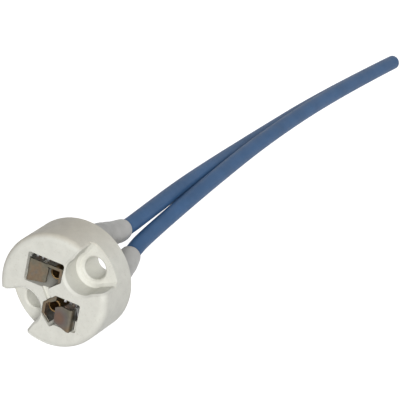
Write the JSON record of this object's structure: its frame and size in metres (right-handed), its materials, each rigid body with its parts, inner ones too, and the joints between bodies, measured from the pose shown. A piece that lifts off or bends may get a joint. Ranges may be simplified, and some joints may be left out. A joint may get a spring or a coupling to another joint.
{
  "type": "halogen lamp holder",
  "caption": "Round ceramic lamp holder for a two-pin halogen lamp, with open contact pockets, recessed screw holes and two blue silicone leads in pale sleeves.",
  "frame": {"origin": "centre of the pair of screw holes, on the back (mounting) face of the ceramic body", "axes": "+Z from the back face towards the lamp; +Y along the line through the two screw holes"},
  "size_m": [0.018, 0.0182, 0.145],
  "materials": {
    "ceramic": "matte, unglazed",
    "contact_metal": "dull nickel silver",
    "eyelet_brass": "satin",
    "spring_steel": "bright",
    "crimp_metal": "nickel plated",
    "tinned_copper": "tinned",
    "sleeve": "silicone coated glass fibre",
    "lead": "matte silicone"
  },
  "bodies": {
    "root": {"ceramic_body": "ceramic", "rear_cover": "ceramic", "left_contact": "contact_metal", "right_contact": "contact_metal", "left_eyelet": "eyelet_brass", "right_eyelet": "eyelet_brass", "left_finger_spring": "spring_steel", "right_finger_spring": "spring_steel", "left_bow_spring": "spring_steel", "right_bow_spring": "spring_steel", "left_crimp": "crimp_metal", "right_crimp": "crimp_metal", "left_conductor": "tinned_copper", "right_conductor": "tinned_copper", "left_sleeve": "sleeve", "right_sleeve": "sleeve", "left_lead": "lead", "right_lead": "lead"}
  },
  "joints": []
}
